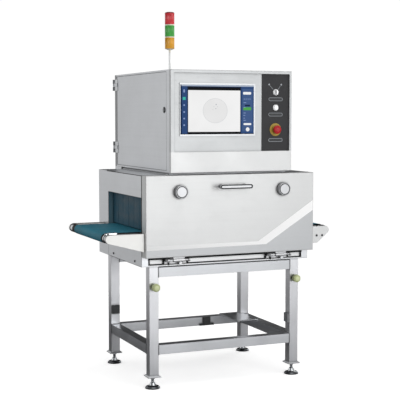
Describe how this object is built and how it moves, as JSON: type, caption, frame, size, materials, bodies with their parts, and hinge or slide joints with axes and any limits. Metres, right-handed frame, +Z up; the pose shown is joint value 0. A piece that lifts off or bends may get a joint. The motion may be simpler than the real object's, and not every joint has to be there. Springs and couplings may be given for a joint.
{
  "type": "x-ray inspection machine",
  "caption": "Conveyor x-ray inspection machine for packed food: shielded tunnel with drop-down door, console with touch screen, signal tower and square-tube stand.",
  "frame": {"origin": "on the floor at the centre of the bounding box", "axes": "+X along the belt from infeed to outfeed, +Y from front to back, +Z up"},
  "size_m": [1.1475, 0.8544, 1.774],
  "materials": {
    "stainless": "brushed",
    "stainless_light": "fine satin",
    "chrome": "polished",
    "white_panel": "satin",
    "belt_teal": "matt",
    "lead_rubber": "matt",
    "black_plastic": "matt",
    "charcoal": "satin",
    "label_grey": "satin",
    "glass_dark": "gloss",
    "stop_yellow": "gloss",
    "stop_red": "gloss",
    "knob_green": "satin",
    "lamp_red": "gloss",
    "lamp_green": "gloss",
    "lamp_amber": "gloss",
    "tower_pale": "satin",
    "painted_grey": "satin"
  },
  "bodies": {
    "machine": {"stand_legs": "stainless", "stand_rails_lower": "stainless", "stand_rails_upper": "stainless", "leg_flanges": "stainless", "foot_locknuts": "chrome", "cable_saddles": "black_plastic", "cabinet_shell": "stainless", "end_panels": "stainless", "end_fillers": "stainless", "panel_screws": "chrome", "front_sill": "stainless", "tunnel_hood": "stainless", "curtain_rods": "chrome", "conveyor_supports": "stainless", "conveyor_rails": "stainless", "slider_bed": "stainless", "detector_bar": "painted_grey", "conveyor_belt": "belt_teal", "infeed_cheeks": "white_panel", "outfeed_cheeks": "stainless_light", "hinge_brackets": "stainless", "console_shell": "stainless", "console_hinges": "stainless", "console_fascia": "stainless_light", "touch_panel": "stainless", "screen_glass": "glass_dark", "control_plate": "charcoal", "label_plates": "label_grey", "button_bezels": "chrome", "stop_collar": "stop_yellow", "rear_housing": "stainless", "rear_cover": "stainless", "cable_gland": "black_plastic", "xray_generator": "painted_grey", "component_plate": "painted_grey", "tower_frame": "tower_pale", "tower_amber": "lamp_amber", "tower_green": "lamp_green", "tower_red": "lamp_red"},
    "front_door": {"door_pan": "stainless_light", "door_lining": "stainless", "door_handle": "chrome", "door_hinge_leaves": "stainless"},
    "latch_left": {"latch_knob_left": "chrome"},
    "latch_right": {"latch_knob_right": "chrome"},
    "side_door": {"console_door": "stainless"},
    "side_lock": {"console_lock": "chrome"},
    "selector": {"selector_knob": "black_plastic"},
    "button": {"push_button": "chrome"},
    "emergency_stop": {"stop_mushroom": "stop_red"},
    "driven_roller": {"drive_roller": "chrome"},
    "free_roller": {"idler_roller": "chrome"},
    "infeed_curtain": {"curtain_infeed": "lead_rubber"},
    "outfeed_curtain": {"curtain_outfeed": "lead_rubber"},
    "clamp_left": {"hand_knob_left": "knob_green"},
    "clamp_right": {"hand_knob_right": "knob_green"},
    "foot_front_left": {"levelling_foot_front_left": "chrome"},
    "foot_front_right": {"levelling_foot_front_right": "chrome"},
    "foot_rear_left": {"levelling_foot_rear_left": "chrome"},
    "foot_rear_right": {"levelling_foot_rear_right": "chrome"}
  },
  "joints": [
    {"name": "front_door_hinge", "type": "hinge", "parent": "machine", "child": "front_door", "pos_m": [0.0435, -0.35725, 0.607], "axis": [1, 0, 0], "range_deg": [0, 90]},
    {"name": "latch_left_turn", "type": "hinge", "parent": "front_door", "child": "latch_left", "pos_m": [-0.2195, -0.37525, 0.923], "axis": [0, -1, 0], "range_deg": [0, 90]},
    {"name": "latch_right_turn", "type": "hinge", "parent": "front_door", "child": "latch_right", "pos_m": [0.3065, -0.37525, 0.923], "axis": [0, 1, 0], "range_deg": [0, 90]},
    {"name": "side_door_hinge", "type": "hinge", "parent": "machine", "child": "side_door", "pos_m": [-0.2675, 0.42075, 1.25], "axis": [0, 0, -1], "range_deg": [0, 110]},
    {"name": "side_lock_turn", "type": "hinge", "parent": "side_door", "child": "side_lock", "pos_m": [-0.2655, -0.29725, 1.296], "axis": [1, 0, 0], "range_deg": [0, 90]},
    {"name": "selector_turn", "type": "hinge", "parent": "machine", "child": "selector", "pos_m": [0.2715, -0.37525, 1.38], "axis": [0, 1, 0], "range_deg": [-45, 45]},
    {"name": "button_press", "type": "slide", "parent": "machine", "child": "button", "axis": [0, 1, 0], "range_m": [0, 0.004], "stiffness_N_per_m": 400, "springref_m": -0.004},
    {"name": "stop_press", "type": "slide", "parent": "machine", "child": "emergency_stop", "axis": [0, 1, 0], "range_m": [0, 0.005]},
    {"name": "drive_roller_turn", "type": "hinge", "parent": "machine", "child": "driven_roller", "pos_m": [0.5515, -0.08125, 0.7157], "axis": [0, 1, 0], "continuous": true},
    {"name": "idler_roller_turn", "type": "hinge", "parent": "machine", "child": "free_roller", "pos_m": [-0.5515, -0.08125, 0.7157], "axis": [0, 1, 0], "continuous": true},
    {"name": "infeed_curtain_swing", "type": "hinge", "parent": "machine", "child": "infeed_curtain", "pos_m": [-0.3595, -0.07525, 0.904], "axis": [0, 1, 0], "range_deg": [-60, 60]},
    {"name": "outfeed_curtain_swing", "type": "hinge", "parent": "machine", "child": "outfeed_curtain", "pos_m": [0.4465, -0.07525, 0.904], "axis": [0, 1, 0], "range_deg": [-60, 60]},
    {"name": "clamp_left_turn", "type": "hinge", "parent": "machine", "child": "clamp_left", "pos_m": [-0.322, -0.30425, 0.48], "axis": [0, -1, 0], "continuous": true},
    {"name": "clamp_right_turn", "type": "hinge", "parent": "machine", "child": "clamp_right", "pos_m": [0.409, -0.30425, 0.48], "axis": [0, -1, 0], "continuous": true},
    {"name": "foot_front_left_turn", "type": "hinge", "parent": "machine", "child": "foot_front_left", "pos_m": [-0.322, -0.28175, 0], "axis": [0, 0, 1], "continuous": true},
    {"name": "foot_front_right_turn", "type": "hinge", "parent": "machine", "child": "foot_front_right", "pos_m": [0.409, -0.28175, 0], "axis": [0, 0, 1], "continuous": true},
    {"name": "foot_rear_left_turn", "type": "hinge", "parent": "machine", "child": "foot_rear_left", "pos_m": [-0.322, 0.27825, 0], "axis": [0, 0, 1], "continuous": true},
    {"name": "foot_rear_right_turn", "type": "hinge", "parent": "machine", "child": "foot_rear_right", "pos_m": [0.409, 0.27825, 0], "axis": [0, 0, 1], "continuous": true}
  ],
  "couplings": [
    {"joint": "idler_roller_turn", "follows": "drive_roller_turn", "ratio": 1}
  ]
}
